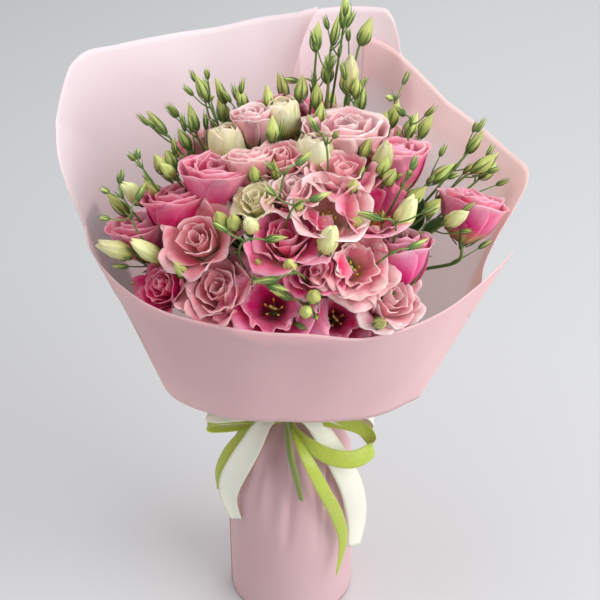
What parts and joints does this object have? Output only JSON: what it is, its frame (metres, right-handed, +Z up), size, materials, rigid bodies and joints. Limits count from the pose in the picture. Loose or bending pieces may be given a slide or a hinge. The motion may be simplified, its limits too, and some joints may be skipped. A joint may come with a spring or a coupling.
{
  "type": "lisianthus bouquet",
  "caption": "Hand-tied bouquet of pink lisianthus blooms and buds in a flared pink paper wrap with cream and lime ribbons, standing on its paper skirt.",
  "frame": {"origin": "centre of the bounding box, on the surface that the paper skirt stands on", "axes": "+Z up along the bundle of stems; the front of the bouquet, with the bow, faces -Y; +X is to the right as seen from the front"},
  "size_m": [0.4188, 0.3313, 0.6234],
  "materials": {
    "petal_pale": "soft matt pale pink petals",
    "petal_pink": "soft matt pink petals",
    "petal_hot": "soft matt hot pink petals",
    "petal_deep": "soft matt deep pink petals",
    "petal_dusty": "soft matt dusty pink petals",
    "petal_peach": "soft matt peach pink petals",
    "petal_cream": "soft matt cream petals",
    "stem_green": "fresh green stems, buds and sepals, satin",
    "pink_paper": "matt wrapping paper",
    "cream_satin": "satin ribbon",
    "lime_satin": "satin ribbon",
    "binding_twine": "dry fibre twine"
  },
  "bodies": {
    "root": {"back_left_stem": "stem_green", "back_right_stem": "stem_green", "back_stem": "stem_green", "bloom_back": "petal_pink", "bloom_back_left": "petal_dusty", "bloom_back_right": "petal_pale", "bloom_centre": "petal_dusty", "bloom_cream_left": "petal_cream", "bloom_cream_middle": "petal_cream", "bloom_cream_top": "petal_cream", "bloom_far_right": "petal_pink", "bloom_front_deep": "petal_deep", "bloom_front_hot": "petal_hot", "bloom_left_deep": "petal_deep", "bloom_left_pink": "petal_pink", "bloom_low_centre": "petal_pink", "bloom_low_dusty": "petal_dusty", "bloom_low_left_deep": "petal_deep", "bloom_low_right_pale": "petal_pale", "bloom_peach_small": "petal_peach", "bloom_rear_top": "petal_pink", "bloom_right_hot": "petal_hot", "bloom_right_rear": "petal_pink", "bloom_right_ruffled": "petal_peach", "bloom_rose_middle": "petal_dusty", "bloom_rosette_cream": "petal_cream", "bloom_rosette_dusty": "petal_dusty", "bloom_rosette_pale": "petal_pale", "bloom_small_pale": "petal_pale", "bloom_top_pale": "petal_pale", "bloom_twin_left": "petal_pale", "bloom_twin_right": "petal_pink", "bloom_upper_left_pink": "petal_pink", "bloom_wide_top": "petal_pink", "centre_stem": "stem_green", "cream_ribbon": "cream_satin", "far_right_stem": "stem_green", "far_upper_left_stem": "stem_green", "front_stem": "stem_green", "left_stem": "stem_green", "lime_ribbon": "lime_satin", "low_front_left_stem": "stem_green", "low_left_stem": "stem_green", "low_right_stem": "stem_green", "mid_left_stem": "stem_green", "mid_top_stem": "stem_green", "paper_front": "pink_paper", "paper_hood": "pink_paper", "paper_left": "pink_paper", "paper_right": "pink_paper", "paper_skirt": "pink_paper", "rear_top_stem": "stem_green", "right_middle_stem": "stem_green", "right_rear_stem": "stem_green", "stem_binding": "binding_twine", "top_stem": "stem_green", "upper_left_stem": "stem_green", "upper_middle_stem": "stem_green"}
  },
  "joints": []
}
